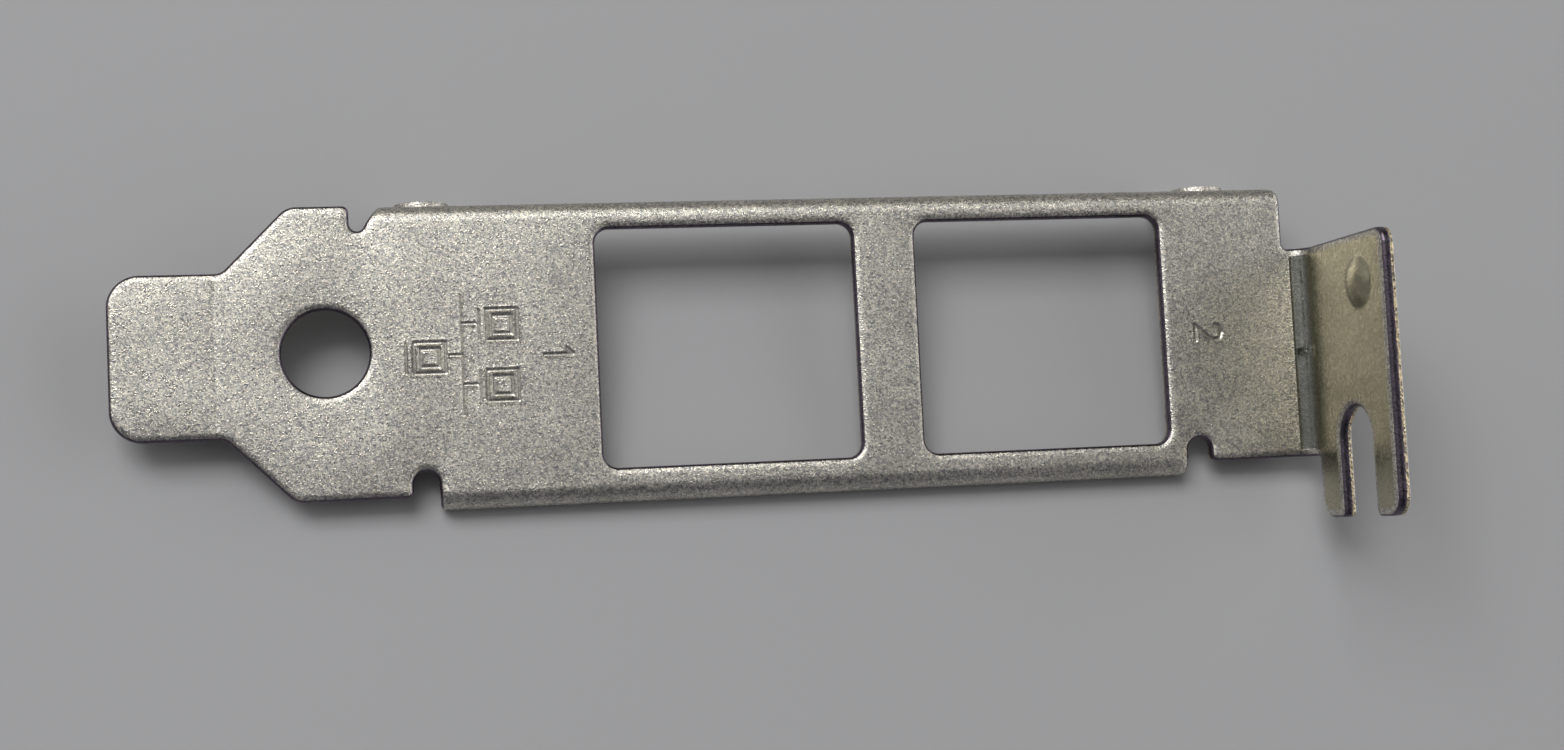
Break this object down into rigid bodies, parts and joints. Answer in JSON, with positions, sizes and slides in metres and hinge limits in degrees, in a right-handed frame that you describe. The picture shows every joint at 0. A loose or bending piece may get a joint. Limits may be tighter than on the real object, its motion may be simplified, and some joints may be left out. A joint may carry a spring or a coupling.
{
  "type": "low profile expansion slot bracket",
  "caption": "Folded steel bracket that closes a slim expansion slot: flat face with port openings, narrow bottom tab, side flanges with tapped card ears, slotted screw tab.",
  "frame": {"origin": "on the outer face, on its centre line, midway between the two port openings", "axes": "+X along the face towards the screw tab, +Y across the face towards the card ears, +Z out of the outer face, away from the computer"},
  "size_m": [0.0792, 0.023, 0.0164],
  "materials": {
    "steel": "nickel-plated sheet steel with a fine, coarse-grained satin"
  },
  "bodies": {
    "root": {"bracket": "steel"}
  },
  "joints": []
}
